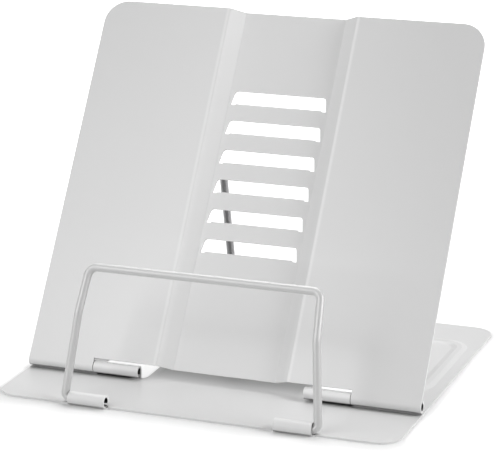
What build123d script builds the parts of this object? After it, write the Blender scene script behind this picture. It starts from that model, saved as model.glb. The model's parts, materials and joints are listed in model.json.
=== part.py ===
from build123d import *
import os

# A folding book stand: a pressed back panel hinged on a pressed base plate,
# a wire bail that holds the pages, and a wire prop that holds the panel up.
# Millimetres and degrees. +X is the reader's right, +Y is away from the reader, +Z is up.
# The origin is on the table, midway between the plate's rear edge and the front of its sockets.

# Sheet metal
sheet = 1.0
inner_bend = 0.5
outer_bend = inner_bend + sheet
curl_turn = 300.0
relief = 1.0
hairline = 0.3

# Back panel
panel_width = 200.0
panel_height = 189.8
panel_corner = 12.0
panel_angle = 56.7
channel_mouth = 66.6
channel_floor = 52.4
channel_depth = 5.2
channel_bend = 1.2

# Rungs: lanced windows in the channel, with the cut flap bent back
rung_count = 6
rung_pitch = 15.45
rung_top_margin = 41.9
window_height = 6.4
window_side_margin = 1.2
window_draw = 1.4
window_corner = 1.8
notch_depth = 0.9
flap_notch = 2.2
flap_bend = 1.1
flap_reach = 4.2

# Base plate, as wide as the panel
base_depth = 171.4
base_corner = 11.0
bead_width = 7.8
bead_crown = 2.4
bead_height = 0.55
bead_corner = 9.0
bead_side_margin = 9.5
bead_rear_margin = 27.0
bead_front_gap = 31.0

# Main hinge
hinge_setback = 40.7
pin_radius = 1.83
pin_play = 0.07
hinge_lift = 0.7
base_knuckle_length = 23.2
panel_knuckle_length = 34.1
knuckle_turn = 240.0
hinge_window_depth = 22.0
hinge_window_margin = 2.6
hinge_window_corner = 3.6
pin_inset = 4.0
skirt_gap = 3.6

# Page bail
bail_radius = 2.0
wire_play = 0.2
socket_inset = 0.4
socket_length = 18.5
socket_bend_gap = 0.1
bail_end_inset = 9.0
bail_side_margin = 37.0
bail_knee_draw = 3.9
bail_top_draw = 5.4
bail_knee_height = 39.5
bail_knee_reach = 9.0
bail_top_height = 59.0
bail_top_reach = 19.7
bail_foot_bend = 2.4
bail_knee_bend = 10.0
bail_top_bend = 4.4

# Prop wire
prop_radius = 2.0
prop_side_inset = 1.8
prop_top_bend = 4.2
prop_foot_bend = 3.2
lug_gap = 3.4
lug_length = 12.0
lug_setback = 85.3
lug_window_depth = 13.5
prop_end_inset = 1.5
seat_rung = 3
seat_drop = 3.0
seat_gap = 0.05

# Sizes that follow from those above
base_width = panel_width
window_foot_width = channel_floor - 2 * window_side_margin
window_top_width = window_foot_width - 2 * window_draw
socket_bore = bail_radius + wire_play
socket_overhang = socket_bore + sheet - socket_inset
base_rear = (base_depth + socket_overhang) / 2
base_front = base_rear - base_depth
hinge_bore = pin_radius + pin_play
knuckle_radius = hinge_bore + sheet
hinge_y = base_front + hinge_setback
hinge_z = sheet + hinge_lift + knuckle_radius
panel_knuckle_start = panel_width / 2 - panel_knuckle_length
base_knuckle_start = panel_knuckle_start - hairline - base_knuckle_length
channel_front = knuckle_radius - channel_depth
flap_tip = channel_front - sheet - flap_reach
bail_foot_half = base_width / 2 - bail_side_margin
bail_knee_half = bail_foot_half - bail_knee_draw
bail_top_half = bail_foot_half - bail_top_draw
socket_y = base_front + socket_inset
socket_z = sheet + socket_bore
socket_start = bail_foot_half - bail_foot_bend - socket_bend_gap - socket_length
prop_half = channel_floor / 2 - prop_side_inset
lug_bore = prop_radius + wire_play
lug_y = hinge_y + lug_setback
lug_z = sheet + lug_bore
lug_start = prop_half + lug_gap
overrun = 2 * sheet


def along_x(section, start, length):
    """A solid whose YZ section runs along X from start."""
    plane = Plane(origin=(start, 0, 0), x_dir=(0, 1, 0), z_dir=(1, 0, 0))
    return extrude(plane * section, amount=length)


def bent_strip(points, bend, side):
    """Section of a sheet whose one face follows points, with rounded bends."""
    face_line = FilletPolyline(*points, radius=bend)
    return make_face(offset(face_line, amount=sheet, side=side))


def curl_section(bore, first, turn):
    """C-shaped section of a tab rolled round the origin."""
    outside = CenterArc((0, 0), bore + sheet, first, turn)
    inside = CenterArc((0, 0), bore, first, turn)
    return make_face([outside, inside, Line(outside @ 0, inside @ 0), Line(outside @ 1, inside @ 1)])


def both_sides(solid):
    """The right-hand feature and its mirror image."""
    return [solid, mirror(solid, about=Plane.YZ)]


def bent_wire(points, radius, bends):
    """A round wire through points, bent at each inner one."""
    path = FilletPolyline(*points, radius=bends)
    return sweep((path ^ 0) * Circle(radius), path=path)


def pressed_blank():
    """The panel's sheet with its channel, lying flat, cut to outline."""
    half = panel_width / 2
    mouth, floor = channel_mouth / 2, channel_floor / 2
    line = [(-half, knuckle_radius), (-mouth, knuckle_radius), (-floor, channel_front)]
    line += [(-x, z) for x, z in reversed(line)]
    section = bent_strip(line, channel_bend, Side.RIGHT)
    blank = extrude(Plane.XZ * section, amount=-panel_height)
    outline = Pos(0, panel_height / 2) * Rectangle(panel_width, panel_height)
    outline = fillet(outline.vertices().group_by(Axis.Y)[-1], radius=panel_corner)
    outline -= Pos(0, skirt_gap / 2) * Rectangle(2 * panel_knuckle_start, skirt_gap)
    return blank & extrude(outline, amount=channel_depth + overrun, both=True)


def rung_level(index):
    """Distance from the hinge axis to the foot of a window."""
    return panel_height - rung_top_margin - window_height - index * rung_pitch


def window_cut():
    """The window's outline, its foot at y = 0, cut through the channel floor."""
    top, foot = window_top_width / 2, window_foot_width / 2
    outline = Polyline(
        (-foot, -notch_depth), (-top, window_height), (top, window_height), (foot, -notch_depth), close=True
    )
    shape = make_face(outline)
    shape = fillet(shape.vertices().group_by(Axis.Y)[-1], radius=window_corner)
    return Pos(0, 0, channel_front - overrun) * extrude(shape, amount=2 * overrun)


def flap():
    """The window's own metal, bent back at the foot to make a ledge for the prop."""
    line = [(-outer_bend - sheet, channel_front), (0, channel_front), (0, flap_tip)]
    section = bent_strip(line, flap_bend, Side.RIGHT)
    root = window_foot_width / 2 - flap_notch
    end = window_top_width / 2 - flap_notch
    ledge = along_x(section, -root, 2 * root)
    outline = Polyline(
        (-root, channel_front), (-end, flap_tip), (end, flap_tip), (root, channel_front), close=True
    )
    taper = extrude(Plane.XZ * make_face(outline), amount=outer_bend + overrun, both=True)
    return ledge & taper


def panel_knuckle():
    """The outer tab of the panel's foot, rolled forward and under into a tube."""
    tube = curl_section(hinge_bore, 90, curl_turn)
    tab = Pos(skirt_gap / 2, hinge_bore + sheet / 2) * Rectangle(skirt_gap, sheet)
    return along_x(tube + tab, panel_knuckle_start, panel_width / 2 - panel_knuckle_start)


def back_panel():
    """The reader's panel: pressed channel, six rungs and two rolled knuckles."""
    panel = pressed_blank()
    levels = [rung_level(i) for i in range(rung_count)]
    panel -= [Pos(0, level) * window_cut() for level in levels]
    panel += [Pos(0, level) * flap() for level in levels]
    panel += both_sides(panel_knuckle())
    return Pos(0, hinge_y, hinge_z) * Rot(panel_angle, 0, 0) * panel


def bead(lift):
    """A shallow pressed bead in a rounded rectangle, on the sheet's face at height lift."""
    wide = base_width - 2 * bead_side_margin
    rear = base_rear - bead_rear_margin
    front = hinge_y + bead_front_gap
    path = Pos(0, (front + rear) / 2, lift) * RectangleRounded(wide, rear - front, bead_corner).wire()
    foot, crown = bead_width / 2, bead_crown / 2
    bump = make_face(
        Polyline((-foot, 0), (-crown, bead_height), (crown, bead_height), (foot, 0), close=True)
    )
    start = Plane(origin=(0, front, lift), x_dir=(0, 1, 0), z_dir=(1, 0, 0))
    return sweep(start * bump, path=path)


def hinge_window():
    """The hole that the base knuckle's tab was lanced from."""
    width = base_knuckle_length + 2 * hinge_window_margin
    depth = hinge_window_depth + outer_bend
    middle = base_knuckle_start + base_knuckle_length / 2
    front = hinge_y + knuckle_radius - outer_bend
    outline = RectangleRounded(width, depth, hinge_window_corner)
    return Pos(middle, front + depth / 2) * extrude(outline, amount=overrun, both=True)


def base_knuckle():
    """A lanced tab, bent up behind the hinge axis and rolled forward over the pin."""
    tube = Pos(hinge_y, hinge_z) * curl_section(hinge_bore, 0, knuckle_turn)
    back = hinge_y + knuckle_radius
    line = [(back - outer_bend - sheet, 0), (back, 0), (back, hinge_z)]
    wall = bent_strip(line, outer_bend, Side.LEFT)
    return along_x(tube + wall, base_knuckle_start, base_knuckle_length)


def rolled_socket(start, length, y, bore):
    """A tab rolled up and back from an edge at y, to hold a wire's end."""
    tube = Pos(y, sheet + bore) * curl_section(bore, 270, -curl_turn)
    root = Pos(y + relief, sheet / 2) * Rectangle(2 * relief, sheet)
    return along_x(tube + root, start, length)


def socket_notch(start, length, y, depth):
    """The gap in the plate in front of a rolled socket, with a relief cut at each side."""
    width = length + 2 * relief
    middle = y + (relief - depth) / 2
    return Pos(start + length / 2, middle, sheet / 2) * Box(width, depth + relief, 2 * sheet)


def base_plate():
    """The foot: plate with a stiffening bead, two hinge knuckles, two sockets and two lugs."""
    outline = Pos(0, base_rear - base_depth / 2) * RectangleRounded(base_width, base_depth, base_corner)
    plate = extrude(outline, amount=sheet)
    plate += bead(sheet)
    plate -= bead(0)
    cuts = [
        hinge_window(),
        socket_notch(socket_start, socket_length, socket_y, socket_bore + overrun),
        socket_notch(lug_start, lug_length, lug_y, lug_window_depth),
    ]
    for cut in cuts:
        plate -= both_sides(cut)
    adds = [
        base_knuckle(),
        rolled_socket(socket_start, socket_length, socket_y, socket_bore),
        rolled_socket(lug_start, lug_length, lug_y, lug_bore),
    ]
    for add in adds:
        plate += both_sides(add)
    return plate


def hinge_pin(side):
    """The pin through one pair of knuckles, set in from both open ends."""
    inner = base_knuckle_start + pin_inset
    outer = panel_width / 2 - pin_inset
    place = Pos(side * (inner + outer) / 2, hinge_y, hinge_z) * Rot(0, 90, 0)
    return place * Cylinder(pin_radius, outer - inner)


def page_bail():
    """The wire that holds the pages: both ends turn inward into the front sockets."""
    end = socket_start + bail_end_inset
    half = [
        (end, socket_y, socket_z),
        (bail_foot_half, socket_y, socket_z),
        (bail_knee_half, socket_y + bail_knee_reach, socket_z + bail_knee_height),
        (bail_top_half, socket_y + bail_top_reach, socket_z + bail_top_height),
    ]
    points = half + [(-x, y, z) for x, y, z in reversed(half)]
    bends = [bail_foot_bend, bail_knee_bend, bail_top_bend]
    return bent_wire(points, bail_radius, bends + bends[::-1])


def prop_wire():
    """The U-shaped wire behind the panel: its ends turn outward into the base plate's lugs."""
    along = rung_level(seat_rung - 1) - seat_drop
    behind = flap_tip - prop_radius - seat_gap
    seat = (Pos(0, hinge_y, hinge_z) * Rot(panel_angle, 0, 0) * Pos(0, along, behind)).position
    end = lug_start + lug_length - prop_end_inset
    half = [(end, lug_y, lug_z), (prop_half, lug_y, lug_z), (prop_half, seat.Y, seat.Z)]
    points = half + [(-x, y, z) for x, y, z in reversed(half)]
    bends = [prop_foot_bend, prop_top_bend, prop_top_bend, prop_foot_bend]
    return bent_wire(points, prop_radius, bends)


nodes = {
    "base_plate": base_plate(),
    "back_panel": back_panel(),
    "hinge_pin_left": hinge_pin(-1),
    "hinge_pin_right": hinge_pin(1),
    "page_bail": page_bail(),
    "prop_wire": prop_wire(),
}

os.makedirs("parts", exist_ok=True)
for name, shape in nodes.items():
    export_step(shape, f"parts/{name}.step")
    box = shape.bounding_box()
    print(name, "solids", len(shape.solids()), "volume", round(shape.volume), "size", box.size)
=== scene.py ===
# %% [markdown]
# A folding book stand in powder-coated sheet steel.
#
# Two pressings, two bent wires and two pins. The pieces arrive from the CAD model with their real
# sizes and places. This lesson gives them the soft edges of pressed, painted metal, makes each
# finish from what it really is, and lights the stand as a studio would. One unit is a metre.

# %% Load the stand
import json
import math

import bpy
from mathutils import Matrix, Vector

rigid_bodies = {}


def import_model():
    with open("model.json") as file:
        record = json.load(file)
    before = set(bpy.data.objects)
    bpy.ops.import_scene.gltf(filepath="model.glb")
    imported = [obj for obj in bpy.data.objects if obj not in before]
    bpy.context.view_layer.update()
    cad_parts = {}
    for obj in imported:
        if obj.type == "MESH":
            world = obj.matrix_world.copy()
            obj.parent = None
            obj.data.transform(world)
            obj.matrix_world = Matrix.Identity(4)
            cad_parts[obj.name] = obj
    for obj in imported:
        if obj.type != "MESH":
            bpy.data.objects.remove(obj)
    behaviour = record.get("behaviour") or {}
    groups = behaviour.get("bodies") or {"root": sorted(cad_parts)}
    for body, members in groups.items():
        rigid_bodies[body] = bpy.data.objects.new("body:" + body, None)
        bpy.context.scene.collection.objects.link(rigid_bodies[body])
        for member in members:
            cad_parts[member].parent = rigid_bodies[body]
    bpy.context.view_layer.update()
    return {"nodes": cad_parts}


for leftover in list(bpy.data.objects):
    bpy.data.objects.remove(leftover)

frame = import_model()
nodes = frame["nodes"]
print("pieces:", ", ".join(sorted(nodes)))

# %% [markdown]
# The camera. The photograph was taken with a long lens from the reader's right, a little above.
# A camera is set either by eye, by dragging it about, or by solving for it. Here its place, turn
# and lens were solved from measured corners of the panel and plate, so outlines fall where they
# do in the photograph. The small shift is the photograph's crop.

# %% Camera
MM = 0.001
IMAGE_WIDTH = 500
FOCAL_PIXELS = 2352.35
SENSOR_WIDTH = 36.0
FARTHEST_SEEN = 20
CAMERA_PLACE = Vector((389.5, -1025.1, 388.5)) * MM
CAMERA_AZIMUTH = math.radians(20.78)
CAMERA_ELEVATION = math.radians(16.05)
CAMERA_ROLL = math.radians(-0.27)
CAMERA_SHIFT = (-0.0073, -0.0152)

camera_data = bpy.data.cameras.new("camera")
camera_data.sensor_width = SENSOR_WIDTH
camera_data.lens = FOCAL_PIXELS / IMAGE_WIDTH * SENSOR_WIDTH
camera_data.shift_x, camera_data.shift_y = CAMERA_SHIFT
camera_data.clip_end = FARTHEST_SEEN
camera = bpy.data.objects.new("camera", camera_data)
bpy.context.scene.collection.objects.link(camera)
bpy.context.scene.camera = camera

level = Vector((math.cos(CAMERA_AZIMUTH), math.sin(CAMERA_AZIMUTH), 0))
ahead = Vector(
    (
        -math.sin(CAMERA_AZIMUTH) * math.cos(CAMERA_ELEVATION),
        math.cos(CAMERA_AZIMUTH) * math.cos(CAMERA_ELEVATION),
        -math.sin(CAMERA_ELEVATION),
    )
)
upward = level.cross(ahead)
right = level * math.cos(CAMERA_ROLL) + upward * math.sin(CAMERA_ROLL)
up = upward * math.cos(CAMERA_ROLL) - level * math.sin(CAMERA_ROLL)
turn = Matrix((right, up, -ahead)).transposed().to_4x4()
camera.matrix_world = Matrix.Translation(CAMERA_PLACE) @ turn
print("lens", round(camera_data.lens, 1), "mm on", SENSOR_WIDTH, "mm")

# %% [markdown]
# Small helpers. Colours are written as the hex values that a paint chart or an image editor
# shows, which are sRGB, and Blender works in linear light, so one function converts them. Another
# adds a shader node: a node is its kind, some settings, and inputs that hold a value or a link
# from another node. The last one reads a place on the stand, whose left and right sides are
# alike, so that one distance from the middle serves both.

# %% Colour and node helpers
def linear(hex_colour):
    """An sRGB hex colour as linear RGBA."""
    channels = [int(hex_colour[i : i + 2], 16) / 255 for i in (1, 3, 5)]
    curve = [c / 12.92 if c <= 0.04045 else ((c + 0.055) / 1.055) ** 2.4 for c in channels]
    return (*curve, 1.0)


def add_node(tree, kind, inputs=None, **settings):
    """A shader node with its settings, and its inputs given as values or links."""
    node = tree.nodes.new(kind)
    for name, value in settings.items():
        setattr(node, name, value)
    for socket, value in (inputs or {}).items():
        if isinstance(value, bpy.types.NodeSocket):
            tree.links.new(value, node.inputs[socket])
        else:
            node.inputs[socket].default_value = value
    return node


def new_material(name):
    """An empty node material, with its tree."""
    material = bpy.data.materials.new(name)
    material.use_nodes = True
    material.node_tree.nodes.clear()
    return material, material.node_tree


def per_metre(spacing_mm):
    """A pattern's scale, from the real distance between its marks."""
    return 1 / (spacing_mm * MM)


def split_place(tree, place):
    """A place's X, Y and Z, and its distance to either side of the middle."""
    axes = add_node(tree, "ShaderNodeSeparateXYZ", {"Vector": place})
    sideways = add_node(tree, "ShaderNodeMath", {0: axes.outputs["X"]}, operation="ABSOLUTE")
    return axes.outputs, sideways.outputs["Value"]


print("white is", [round(c, 2) for c in linear("#FFFFFF")])

# %% [markdown]
# How light the coat is on the panel. The colour is painted lighter towards the folds and the foot
# and on the left flat, and darker on the right flat: painted light and shade. One could paint
# such a map by hand on an unwrapped surface. Here it is worked out from real distances, out from
# the middle line and up from the table as the stand is drawn, so it needs no image and moves with
# the panel. Right beside each fold runs a narrow painted highlight.

# %% Painted light on the panel
CHANNEL_FLOOR_AT = 30.5 * MM
FOLD_AT = 33.3 * MM
FOLD_HIGHLIGHT_AT = 34.3 * MM
FOLD_HIGHLIGHT_HALF = 1.3 * MM
OUTER_EDGE_AT = 100 * MM
HEAD_AT = 163 * MM
EVEN_FILM = 0.62
FOLD_LIGHTER = 0.58
FOOT_LIGHTER = 0.48
LEFT_FLAT_LIGHTER = 0.12
RIGHT_FLAT_DARKER = -0.16
FOLD_HIGHLIGHT_STRENGTH = 0.7


def panel_tone_and_painted_light(tree, place):
    """The panel's tone with painted light and shade, its painted fold highlight, and no painted
    shadow.
    """
    axes, sideways = split_place(tree, place)
    # Painted light and shade: lighter towards the folds and the foot.
    from_fold = add_node(
        tree,
        "ShaderNodeMapRange",
        {
            "Value": sideways,
            "From Min": FOLD_AT,
            "From Max": OUTER_EDGE_AT,
            "To Min": FOLD_LIGHTER,
            "To Max": 0.0,
        },
    )
    from_foot = add_node(
        tree,
        "ShaderNodeMapRange",
        {"Value": axes["Z"], "From Max": HEAD_AT, "To Min": FOOT_LIGHTER, "To Max": 0.0},
    )
    # Painted light: the left flat lighter, the right flat darker.
    from_left = add_node(
        tree,
        "ShaderNodeMapRange",
        {
            "Value": axes["X"],
            "From Min": -CHANNEL_FLOOR_AT,
            "From Max": CHANNEL_FLOOR_AT,
            "To Min": LEFT_FLAT_LIGHTER,
            "To Max": RIGHT_FLAT_DARKER,
        },
    )
    flats = from_fold.outputs["Result"]
    for share in (from_foot.outputs["Result"], from_left.outputs["Result"]):
        flats = add_node(tree, "ShaderNodeMath", {0: flats, 1: share}).outputs["Value"]
    in_channel = add_node(
        tree,
        "ShaderNodeMapRange",
        {
            "Value": sideways,
            "From Min": CHANNEL_FLOOR_AT,
            "From Max": FOLD_AT,
            "To Min": 1.0,
            "To Max": 0.0,
        },
    )
    film_and_painted_light = add_node(
        tree,
        "ShaderNodeMix",
        {"Factor": in_channel.outputs["Result"], "A": flats, "B": EVEN_FILM},
    )
    # Painted highlight along each fold.
    past_fold_highlight = add_node(tree, "ShaderNodeMath", {0: sideways, 1: FOLD_HIGHLIGHT_AT}, operation="SUBTRACT")
    off_fold_highlight = add_node(
        tree, "ShaderNodeMath", {0: past_fold_highlight.outputs["Value"]}, operation="ABSOLUTE"
    )
    fold_highlight = add_node(
        tree,
        "ShaderNodeMapRange",
        {
            "Value": off_fold_highlight.outputs["Value"],
            "From Max": FOLD_HIGHLIGHT_HALF,
            "To Min": FOLD_HIGHLIGHT_STRENGTH,
            "To Max": 0.0,
        },
        interpolation_type="SMOOTHSTEP",
    )
    return film_and_painted_light.outputs["Result"], fold_highlight.outputs["Result"], 0.0


print("folds at", FOLD_AT / MM, "mm, outer edges at", OUTER_EDGE_AT / MM, "mm")

# %% [markdown]
# And on the plate. Lying flat under the gun, the plate takes an even film. The crowns of its
# rolled knuckles, sockets and lugs get a painted highlight along their tops. The corner below the
# panel's foot gets a painted shadow, where the panel shades it.

# %% Painted highlight and shadow on the plate
CROWN_HIGHLIGHT_FROM = 4.8 * MM
CROWN_HIGHLIGHT_FULL = 6.4 * MM
SHADE_MIDDLE = -24 * MM
SHADE_DEPTH = 21 * MM
SHADE_HALF = 36 * MM
SHADE_END = 44 * MM
SHADE_DARK = 0.64


def plate_tone_and_painted_light(tree, place):
    """The plate's even tone, its painted crown highlight, and its painted shadow below the panel's
    foot.
    """
    axes, sideways = split_place(tree, place)
    # Painted shadow on the plate below the panel's foot, where the panel shades it.
    past_middle = add_node(
        tree, "ShaderNodeMath", {0: axes["Y"], 1: SHADE_MIDDLE}, operation="SUBTRACT"
    )
    lengthways = add_node(
        tree, "ShaderNodeMath", {0: past_middle.outputs["Value"]}, operation="ABSOLUTE"
    )
    across = add_node(
        tree,
        "ShaderNodeMapRange",
        {
            "Value": sideways,
            "From Min": SHADE_HALF,
            "From Max": SHADE_END,
            "To Min": 1.0,
            "To Max": 0.0,
        },
    )
    along = add_node(
        tree,
        "ShaderNodeMapRange",
        {
            "Value": lengthways.outputs["Value"],
            "From Max": SHADE_DEPTH,
            "To Min": SHADE_DARK,
            "To Max": 0.0,
        },
        interpolation_type="SMOOTHSTEP",
    )
    painted_shadow = add_node(
        tree,
        "ShaderNodeMath",
        {0: across.outputs["Result"], 1: along.outputs["Result"]},
        operation="MULTIPLY",
    )
    # Painted highlight on the crowns of the rolls.
    crown_highlight = add_node(
        tree,
        "ShaderNodeMapRange",
        {"Value": axes["Z"], "From Min": CROWN_HIGHLIGHT_FROM, "From Max": CROWN_HIGHLIGHT_FULL},
    )
    return EVEN_FILM, crown_highlight.outputs["Result"], painted_shadow.outputs["Value"]


print("crowns palest from", CROWN_HIGHLIGHT_FULL / MM, "mm up")

# %% [markdown]
# Inside the tubes. The knuckles, sockets and lugs are rolled tubes. The charge pulls the powder to
# the nearest metal, which is the outside of the tube, so the bore's coat is thin; the bore is
# painted near-black, which is painted shade. A tube is known by its axis, its bore and where it
# starts and ends, and a point is inside when it is near the axis and between the ends. The mask
# reaches most of the way through the sheet, so that the open seam gets the painted shade too, and
# stops a third
# of a millimetre short of the ends: what is left is the bright rim round each dark hole.

# %% Inside the rolled tubes
SKIN = 0.85 * MM
LIT_RIM = 0.3 * MM
PANEL_KNUCKLE = (65.9, 100, -43.6, 4.6, 1.9)
PLATE_KNUCKLE = (42.4, 65.6, -43.6, 4.6, 1.9)
BAIL_SOCKET = (41.9, 60.5, -83.9, 3.2, 2.2)
PROP_LUG = (27.8, 39.8, 41.7, 3.2, 2.2)


def inside_rolls(tree, place, rolls):
    """1 inside the tubes, each its start, end, y, z and bore radius in mm, and 0 elsewhere."""
    axes, sideways = split_place(tree, place)
    section = add_node(tree, "ShaderNodeCombineXYZ", {"Y": axes["Y"], "Z": axes["Z"]})
    inside = 0.0
    for start, end, y, z, bore in rolls:
        middle = (start + end) / 2 * MM
        half_length = (end - start) / 2 * MM
        along = add_node(
            tree,
            "ShaderNodeMath",
            {0: sideways, 1: middle, 2: half_length - LIT_RIM},
            operation="COMPARE",
        )
        off_axis = add_node(
            tree,
            "ShaderNodeVectorMath",
            {0: section.outputs["Vector"], 1: (0, y * MM, z * MM)},
            operation="DISTANCE",
        )
        within = add_node(
            tree,
            "ShaderNodeMath",
            {0: off_axis.outputs["Value"], 1: bore * MM + SKIN},
            operation="LESS_THAN",
        )
        here = add_node(
            tree,
            "ShaderNodeMath",
            {0: along.outputs["Value"], 1: within.outputs["Value"], 2: inside},
            operation="MULTIPLY_ADD",
        )
        inside = here.outputs["Value"]
    return inside


panel_rolls = [PANEL_KNUCKLE]
plate_rolls = [PLATE_KNUCKLE, BAIL_SOCKET, PROP_LUG]
print("tubes on each side:", len(panel_rolls) + len(plate_rolls))

# %% [markdown]
# Edges and crevices. As it melts, the powder draws up paler along cut edges, and the edges get a
# painted highlight too. A bevel node rounds the normal there, so where it parts from the true
# normal there is an edge. Crevices between two pieces get painted shade, near-black, which an
# ambient occlusion node finds. That node takes the table for a second wall of a crevice, so faces
# within half a millimetre or so of it get no painted shade.

# %% Paler edges, painted highlight and painted shade in crevices
EDGE_RADIUS = 0.7 * MM
EDGE_TURN = 0.75
EDGE_PALE = 0.6
CREVICE_REACH = 3.2 * MM
CREVICE_DARKEST = 0.18
CREVICE_UNSHADED = 0.7
CLEAR_OF_TABLE = 0.97 * MM
BY_THE_TABLE = 0.6 * MM


def pale_edges_and_highlight(tree):
    """How much paler the edges are: drawn-up powder and a painted highlight."""
    softened = add_node(tree, "ShaderNodeBevel", {"Radius": EDGE_RADIUS}, samples=4)
    true_normal = add_node(tree, "ShaderNodeNewGeometry").outputs["Normal"]
    agreement = add_node(
        tree,
        "ShaderNodeVectorMath",
        {0: softened.outputs["Normal"], 1: true_normal},
        operation="DOT_PRODUCT",
    )
    near_edge = add_node(
        tree,
        "ShaderNodeMapRange",
        {
            "Value": agreement.outputs["Value"],
            "From Min": 1.0,
            "From Max": EDGE_TURN,
            "To Max": EDGE_PALE,
        },
    )
    return near_edge.outputs["Result"]


def crevice_unshaded(tree, place):
    """1 in the open, falling to 0 deep in a crevice, where the shade is painted."""
    height = add_node(tree, "ShaderNodeSeparateXYZ", {"Vector": place}).outputs["Z"]
    open_air = add_node(tree, "ShaderNodeAmbientOcclusion", {"Distance": CREVICE_REACH}, samples=8)
    crevice_open = add_node(
        tree,
        "ShaderNodeMapRange",
        {
            "Value": open_air.outputs["AO"],
            "From Min": CREVICE_DARKEST,
            "From Max": CREVICE_UNSHADED,
        },
        interpolation_type="SMOOTHSTEP",
    )
    by_the_table = add_node(
        tree,
        "ShaderNodeMapRange",
        {"Value": height, "From Min": CLEAR_OF_TABLE, "From Max": BY_THE_TABLE},
    )
    crevice_lit = add_node(
        tree,
        "ShaderNodeMath",
        {0: crevice_open.outputs["Result"], 1: by_the_table.outputs["Result"]},
        operation="MAXIMUM",
    )
    return crevice_lit.outputs["Value"]


print("crevices are narrower than", CREVICE_REACH / MM, "mm")

# %% [markdown]
# Powder coat. The sheets are mild steel, sprayed and baked. The molten powder pulls itself level
# but never quite does: it leaves orange peel, soft dimples two or three millimetres apart and
# only microns deep. The film is a satin plastic, so it is a dielectric with an IOR of 1.5 and a
# middling roughness. A photograph of a painted panel could be mapped on instead, but a noise bump
# is true from any distance and needs no image. The peel is drawn deeper than life, because its
# real depth would not show.

# %% Powder coat
COAT_IOR = 1.5
SATIN = 0.32
SATIN_SPREAD = 0.05
PEEL_SPACING_MM = 2.6
PEEL_DEPTH = 0.008 * MM
GRAIN_SPACING_MM = 0.35
CLOUD_SPACING_MM = 55
CLOUD_STRENGTH = 0.15
GREYER_COAT_HEX = "#D2D2D2"
WHITER_COAT_HEX = "#E1E1E1"
PALE_EDGE_AND_HIGHLIGHT_HEX = "#ECECEC"
BARE_STEEL_AND_SHADE_HEX = "#101010"


def powder_coat(name, tone_and_painted_light_on, rolls):
    """Baked polyester powder on steel: orange peel, paler edges, and painted light, highlights and
    shade.
    """
    material, tree = new_material(name)
    place = add_node(tree, "ShaderNodeTexCoord").outputs["Object"]
    # Painted light and shade, painted highlights and a painted shadow come from the film maps.
    film_and_painted_light, painted_highlight, painted_shadow = tone_and_painted_light_on(tree, place)
    cloud = add_node(
        tree,
        "ShaderNodeTexNoise",
        {"Vector": place, "Scale": per_metre(CLOUD_SPACING_MM), "Detail": 3.0},
    )
    grain = add_node(
        tree,
        "ShaderNodeTexNoise",
        {"Vector": place, "Scale": per_metre(GRAIN_SPACING_MM), "Detail": 2.0},
    )
    peel = add_node(
        tree,
        "ShaderNodeTexNoise",
        {"Vector": place, "Scale": per_metre(PEEL_SPACING_MM), "Detail": 1.0},
    )
    drift = add_node(
        tree,
        "ShaderNodeMath",
        {0: cloud.outputs["Fac"], 1: CLOUD_STRENGTH, 2: film_and_painted_light},
        operation="MULTIPLY_ADD",
    )
    tone_and_painted_light = add_node(
        tree,
        "ShaderNodeMath",
        {0: drift.outputs["Value"], 1: CLOUD_STRENGTH / 2},
        operation="SUBTRACT",
    )
    tint = add_node(
        tree,
        "ShaderNodeMix",
        {
            "Factor": tone_and_painted_light.outputs["Value"],
            "A": linear(GREYER_COAT_HEX),
            "B": linear(WHITER_COAT_HEX),
        },
        data_type="RGBA",
    )
    # Edges get paler, and folds and crowns get a painted highlight.
    edges_and_highlights = add_node(
        tree, "ShaderNodeMath", {0: pale_edges_and_highlight(tree), 1: painted_highlight}, operation="MAXIMUM"
    )
    coloured = add_node(
        tree,
        "ShaderNodeMix",
        {
            "Factor": edges_and_highlights.outputs["Value"],
            "A": tint.outputs["Result"],
            "B": linear(PALE_EDGE_AND_HIGHLIGHT_HEX),
        },
        data_type="RGBA",
    )
    # Crevices, tube bores and the plate below the panel's foot go near-black: painted shade.
    out_of_painted_shade = crevice_unshaded(tree, place)
    for painted_dark in (inside_rolls(tree, place, rolls), painted_shadow):
        out_of_painted_shade = add_node(
            tree, "ShaderNodeMath", {0: out_of_painted_shade, 1: painted_dark}, operation="SUBTRACT", use_clamp=True
        ).outputs["Value"]
    shaded_colour = add_node(
        tree,
        "ShaderNodeMix",
        {"Factor": out_of_painted_shade, "A": linear(BARE_STEEL_AND_SHADE_HEX), "B": coloured.outputs["Result"]},
        data_type="RGBA",
    )
    gloss = add_node(
        tree,
        "ShaderNodeMapRange",
        {
            "Value": grain.outputs["Fac"],
            "To Min": SATIN - SATIN_SPREAD,
            "To Max": SATIN + SATIN_SPREAD,
        },
    )
    dimples = add_node(
        tree, "ShaderNodeBump", {"Height": peel.outputs["Fac"], "Distance": PEEL_DEPTH}
    )
    paint = add_node(
        tree,
        "ShaderNodeBsdfPrincipled",
        {
            "Base Color": shaded_colour.outputs["Result"],
            "Roughness": gloss.outputs["Result"],
            "Normal": dimples.outputs["Normal"],
            "IOR": COAT_IOR,
        },
    )
    add_node(tree, "ShaderNodeOutputMaterial", {"Surface": paint.outputs["BSDF"]})
    return material


panel_coat = powder_coat("white_powder_coat_on_panel", panel_tone_and_painted_light, panel_rolls)
plate_coat = powder_coat("white_powder_coat_on_plate", plate_tone_and_painted_light, plate_rolls)
print("orange peel every", PEEL_SPACING_MM, "mm")

# %% [markdown]
# Coated wire. The page bail is round steel wire, bent and then coated in a pale grey. On a thin
# wire the melt flows out all round, so it has no orange peel and no bare spots: a diffuse grey
# under a smooth satin skin. A strongly reflecting clear coat and a sheen brighten it towards its
# outline, which is what makes a wire look round. A plain grey would do from far away, but close
# up it would read as a flat ribbon.

# %% Grey coat for the bail
DRIFT_SPACING_MM = 20.0
WIRE_SPREAD = 0.03
SKIN_ROUGHNESS = 0.38
SKIN_IOR = 2.1
SHEEN_ROUGHNESS = 0.7


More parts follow.
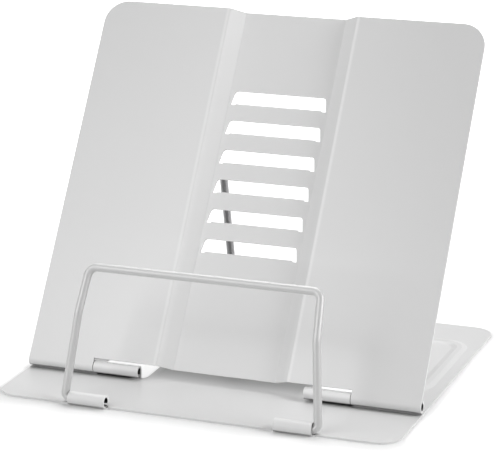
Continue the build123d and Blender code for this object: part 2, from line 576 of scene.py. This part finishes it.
def wire_skin(name, hex_low, hex_high, roughness):
    """Powder melted smooth on a wire: even colour with a slow drift, under a satin skin."""
    material, tree = new_material(name)
    place = add_node(tree, "ShaderNodeTexCoord").outputs["Object"]
    drift = add_node(
        tree,
        "ShaderNodeTexNoise",
        {"Vector": place, "Scale": per_metre(DRIFT_SPACING_MM), "Detail": 1.0},
    )
    colour = add_node(
        tree,
        "ShaderNodeMix",
        {"Factor": drift.outputs["Fac"], "A": linear(hex_low), "B": linear(hex_high)},
        data_type="RGBA",
    )
    gloss = add_node(
        tree,
        "ShaderNodeMapRange",
        {
            "Value": drift.outputs["Fac"],
            "To Min": roughness - WIRE_SPREAD,
            "To Max": roughness + WIRE_SPREAD,
        },
    )
    skin = add_node(
        tree,
        "ShaderNodeBsdfPrincipled",
        {
            "Base Color": colour.outputs["Result"],
            "Roughness": gloss.outputs["Result"],
            "IOR": COAT_IOR,
            "Coat Weight": 1.0,
            "Coat Roughness": SKIN_ROUGHNESS,
            "Coat IOR": SKIN_IOR,
            "Sheen Weight": 1.0,
            "Sheen Roughness": SHEEN_ROUGHNESS,
        },
    )
    add_node(tree, "ShaderNodeOutputMaterial", {"Surface": skin.outputs["BSDF"]})
    return material


wire_coat = wire_skin("grey_powder_coat_on_wire", "#979797", "#9D9D9D", 0.45)
print("wire in", wire_coat.name)

# %% [markdown]
# Bright wire. The prop behind the panel and the hinge pins are drawn steel, the prop with a thin
# zinc plating. Drawing leaves fine lines along the wire, and zinc leaves a soft grey bloom. A
# metal reflects at its surface, so it is fully metallic, with the reflection's colour as its
# base colour. The lines are stretched noise: long along the wire and close across it. They are
# drawn a few times wider than life, because the real ones would not show.

# %% Zinc-plated wire and drawn steel
BLOOM_SPACING_MM = 3.0
BLOOM_SPREAD = 0.08
DRAWN_LINE_MM = 0.12
DRAWN_LINE_LENGTH_MM = 6.0
DRAWN_DEPTH = 0.003 * MM


def drawn_metal(name, hex_colour, hex_bloom, roughness):
    """Wire pulled through a die: lines along it, and a soft bloom over them."""
    material, tree = new_material(name)
    place = add_node(tree, "ShaderNodeTexCoord").outputs["Object"]
    bloom = add_node(
        tree,
        "ShaderNodeTexNoise",
        {"Vector": place, "Scale": per_metre(BLOOM_SPACING_MM), "Detail": 4.0},
    )
    lengthways = per_metre(DRAWN_LINE_LENGTH_MM)
    stretch = (per_metre(DRAWN_LINE_MM), lengthways, lengthways)
    along = add_node(tree, "ShaderNodeMapping", {"Vector": place, "Scale": stretch})
    lines = add_node(
        tree, "ShaderNodeTexNoise", {"Vector": along.outputs["Vector"], "Scale": 1.0}
    )
    colour = add_node(
        tree,
        "ShaderNodeMix",
        {"Factor": bloom.outputs["Fac"], "A": linear(hex_colour), "B": linear(hex_bloom)},
        data_type="RGBA",
    )
    gloss = add_node(
        tree,
        "ShaderNodeMapRange",
        {
            "Value": bloom.outputs["Fac"],
            "To Min": roughness - BLOOM_SPREAD,
            "To Max": roughness + BLOOM_SPREAD,
        },
    )
    scratches = add_node(
        tree, "ShaderNodeBump", {"Height": lines.outputs["Fac"], "Distance": DRAWN_DEPTH}
    )
    metal = add_node(
        tree,
        "ShaderNodeBsdfPrincipled",
        {
            "Base Color": colour.outputs["Result"],
            "Metallic": 1.0,
            "Roughness": gloss.outputs["Result"],
            "Normal": scratches.outputs["Normal"],
        },
    )
    add_node(tree, "ShaderNodeOutputMaterial", {"Surface": metal.outputs["BSDF"]})
    return material


zinc_wire = drawn_metal("zinc_plated_wire", "#A4A4A5", "#929293", 0.36)
pin_steel = drawn_metal("drawn_steel_pin", "#9C9C9D", "#8E8E8F", 0.32)
print("metals:", zinc_wire.name, pin_steel.name)

# %% [markdown]
# Soft edges. Sheared steel under a coat has no knife edge: tumbling and paint round it to a
# tenth or two of a millimetre, and that round catches the light as a thin bright rim. The CAD
# faces come in as separate patches, so a Weld joins them, a Bevel rounds every edge sharper than
# a press bend, and a Weighted Normal keeps the wide faces flat in the shading. A wire is round
# all the way, so only its cut ends are rounded and its shading is left alone, or its narrow
# facets would show. Modifiers leave the CAD mesh itself as it is.

# %% Round the edges and hand out the finishes
WELD_DISTANCE = 0.002 * MM
EDGE_ROUND = 0.18 * MM
SHEET_SHARP_FROM = math.radians(28)
WIRE_SHARP_FROM = math.radians(60)
SHEETS = ("base_plate", "back_panel")
finishes = {
    "base_plate": plate_coat,
    "back_panel": panel_coat,
    "page_bail": wire_coat,
    "prop_wire": zinc_wire,
    "hinge_pin_left": pin_steel,
    "hinge_pin_right": pin_steel,
}


def soften(piece, is_sheet):
    """Joins the patches, rounds the sharp edges and keeps the broad faces of a sheet flat."""
    weld = piece.modifiers.new("weld", "WELD")
    weld.merge_threshold = WELD_DISTANCE
    bevel = piece.modifiers.new("edge_round", "BEVEL")
    bevel.width = EDGE_ROUND
    bevel.segments = 2
    bevel.limit_method = "ANGLE"
    bevel.angle_limit = SHEET_SHARP_FROM if is_sheet else WIRE_SHARP_FROM
    bevel.harden_normals = is_sheet
    if is_sheet:
        weighted = piece.modifiers.new("flat_faces", "WEIGHTED_NORMAL")
        weighted.keep_sharp = True


for name, finish in finishes.items():
    piece = nodes[name]
    piece.data.materials.clear()
    piece.data.materials.append(finish)
    soften(piece, is_sheet=name in SHEETS)
    print(name, "in", finish.name)

# %% [markdown]
# The shadow where it touches. Round its outline the plate gets a soft grey painted shadow on the
# paper: longer in front, where the light comes over the panel from behind, and short at the sides.
# The plate's outline is a rectangle with round corners, and the distance past it is that past the
# rectangle of the corners' centres, less their radius. The paper's glow, which comes next, is
# held back here, which paints the shadow: it may rise from nothing at the outline to its full
# strength four shadow lengths away.

# %% Contact shadow
PLATE_MIDDLE = 1.4 * MM
CORNER_X = 89 * MM
CORNER_Y = 74.7 * MM
CORNER_ROUND = 11 * MM
SHADOW_FRONT = 13 * MM
SHADOW_SIDE = 2.6 * MM
HALO_REACH = 4.0


def contact_shadow(tree, place):
    """0 at the plate's outline, rising outward; 1 below the plate, where its windows look down."""
    axes, sideways = split_place(tree, place)
    past_side = add_node(
        tree, "ShaderNodeMath", {0: sideways, 1: CORNER_X}, operation="SUBTRACT", use_clamp=True
    )
    forward = add_node(
        tree, "ShaderNodeMath", {0: PLATE_MIDDLE, 1: axes["Y"]}, operation="SUBTRACT"
    )
    lengthways = add_node(
        tree, "ShaderNodeMath", {0: forward.outputs["Value"]}, operation="ABSOLUTE"
    )
    past_end = add_node(
        tree,
        "ShaderNodeMath",
        {0: lengthways.outputs["Value"], 1: CORNER_Y},
        operation="SUBTRACT",
        use_clamp=True,
    )
    past = add_node(
        tree,
        "ShaderNodeCombineXYZ",
        {"X": past_side.outputs["Value"], "Y": past_end.outputs["Value"]},
    )
    away = add_node(
        tree, "ShaderNodeVectorMath", {0: past.outputs["Vector"]}, operation="LENGTH"
    ).outputs["Value"]
    in_front = add_node(
        tree, "ShaderNodeMath", {0: forward.outputs["Value"], 1: 0.0}, operation="GREATER_THAN"
    )
    past_front = add_node(
        tree,
        "ShaderNodeMath",
        {0: past_end.outputs["Value"], 1: in_front.outputs["Value"]},
        operation="MULTIPLY",
    )
    frontal = add_node(
        tree, "ShaderNodeMath", {0: past_front.outputs["Value"], 1: away}, operation="DIVIDE"
    )
    reach = add_node(
        tree,
        "ShaderNodeMath",
        {0: frontal.outputs["Value"], 1: SHADOW_FRONT - SHADOW_SIDE, 2: SHADOW_SIDE},
        operation="MULTIPLY_ADD",
    )
    beyond = add_node(tree, "ShaderNodeMath", {0: away, 1: CORNER_ROUND}, operation="SUBTRACT")
    reaches = add_node(
        tree,
        "ShaderNodeMath",
        {0: beyond.outputs["Value"], 1: reach.outputs["Value"]},
        operation="DIVIDE",
    )
    halo = add_node(
        tree, "ShaderNodeMapRange", {"Value": reaches.outputs["Value"], "From Max": HALO_REACH}
    )
    below = add_node(tree, "ShaderNodeMath", {0: away, 1: CORNER_ROUND}, operation="LESS_THAN")
    lit = add_node(
        tree,
        "ShaderNodeMath",
        {0: halo.outputs["Result"], 1: below.outputs["Value"]},
        operation="MAXIMUM",
    )
    return lit.outputs["Value"]


print("shadow", SHADOW_FRONT / MM, "mm long in front,", SHADOW_SIDE / MM, "mm at the sides")

# %% [markdown]
# The surface it stands on. A white sweep in a studio is paper that runs off past the frame and
# burns out to white, with only the shadow under the object left. The floor here lights the
# object like pale paper, and what the camera and the reflections see is the same paper plus a
# glow, so that it reads white everywhere but in the shadow. The room is the same: white to the
# eye and in reflections, and no lamp.

# %% Floor and backdrop
FLOOR_REACH = 6.0
FLOOR_DROP = 0.05 * MM
GLOW_FROM = 0.16
GLOW_FULL = 0.6
NEAR_GLOW = 0.5


def seen_directly(tree):
    """1 for what the camera sees, straight, in a reflection or through glass, and 0 for light."""
    path = add_node(tree, "ShaderNodeLightPath").outputs
    seen = path["Is Camera Ray"]
    for kind_of_ray in ("Is Glossy Ray", "Is Transmission Ray"):
        seen = add_node(
            tree, "ShaderNodeMath", {0: seen, 1: path[kind_of_ray]}, operation="MAXIMUM"
        ).outputs["Value"]
    return seen


def white_sweep(name, hex_paper):
    """Studio paper: real for the light that bounces off it, burnt out to white for the eye."""
    material, tree = new_material(name)
    place = add_node(tree, "ShaderNodeTexCoord").outputs["Object"]
    away = add_node(tree, "ShaderNodeVectorMath", {0: place}, operation="LENGTH")
    burnt = add_node(
        tree,
        "ShaderNodeMapRange",
        {
            "Value": away.outputs["Value"],
            "From Min": GLOW_FROM,
            "From Max": GLOW_FULL,
            "To Min": NEAR_GLOW,
        },
        interpolation_type="SMOOTHSTEP",
    )
    glow = add_node(
        tree,
        "ShaderNodeMath",
        {0: contact_shadow(tree, place), 1: burnt.outputs["Result"]},
        operation="MINIMUM",
    )
    strength = add_node(
        tree,
        "ShaderNodeMath",
        {0: seen_directly(tree), 1: glow.outputs["Value"]},
        operation="MULTIPLY",
    )
    paper = add_node(tree, "ShaderNodeBsdfDiffuse", {"Color": linear(hex_paper)})
    light = add_node(tree, "ShaderNodeEmission", {"Strength": strength.outputs["Value"]})
    both = add_node(
        tree, "ShaderNodeAddShader", {0: paper.outputs["BSDF"], 1: light.outputs["Emission"]}
    )
    add_node(tree, "ShaderNodeOutputMaterial", {"Surface": both.outputs["Shader"]})
    return material


floor_mesh = bpy.data.meshes.new("floor")
corners = [(-1, -1), (1, -1), (1, 1), (-1, 1)]
floor_points = [(x * FLOOR_REACH, y * FLOOR_REACH, -FLOOR_DROP) for x, y in corners]
floor_mesh.from_pydata(floor_points, [], [(0, 1, 2, 3)])
floor_mesh.materials.append(white_sweep("studio_paper", "#EEEEEE"))
floor = bpy.data.objects.new("floor", floor_mesh)
bpy.context.scene.collection.objects.link(floor)

world = bpy.data.worlds.new("studio")
world.use_nodes = True
bpy.context.scene.world = world
sky = world.node_tree
sky.nodes.clear()
room = add_node(
    sky,
    "ShaderNodeBackground",
    {"Color": linear("#FFFFFF"), "Strength": seen_directly(sky)},
)
add_node(sky, "ShaderNodeOutputWorld", {"Surface": room.outputs["Background"]})
print("floor", 2 * FLOOR_REACH, "m wide")

# %% [markdown]
# Lamps. The photograph's light is large and soft. The channel's left wall faces right and is the
# brightest face, so one softbox stands on the reader's right. The flats and the plate are nearly
# as bright, so a larger one fills from the front left, and the paler rear of the plate and the
# crowns of the rolls ask for a third above and behind. Their places and strengths were found by
# rendering each lamp alone and mixing the results until the faces matched the photograph. The
# camera does not see the lamps themselves.

# %% Lamps
LAMP_AIM = Vector((0, 0, 60)) * MM


def softbox(name, place, size, watts):
    """A square lamp that looks at the middle of the stand."""
    data = bpy.data.lights.new(name, "AREA")
    data.shape = "SQUARE"
    data.size = size
    data.energy = watts
    lamp = bpy.data.objects.new(name, data)
    bpy.context.scene.collection.objects.link(lamp)
    lamp.location = place
    lamp.visible_camera = False
    lamp.rotation_euler = (LAMP_AIM - Vector(place)).to_track_quat("-Z", "Y").to_euler()


softbox("right_softbox", place=(1.42, 0.05, 0.79), size=1.0, watts=20.0)
softbox("left_softbox", place=(-1.4, -1.87, 1.2), size=2.1, watts=43.8)
softbox("top_softbox", place=(-0.19, 0.82, 1.42), size=1.2, watts=15.6)
bpy.context.scene.view_settings.view_transform = "Standard"
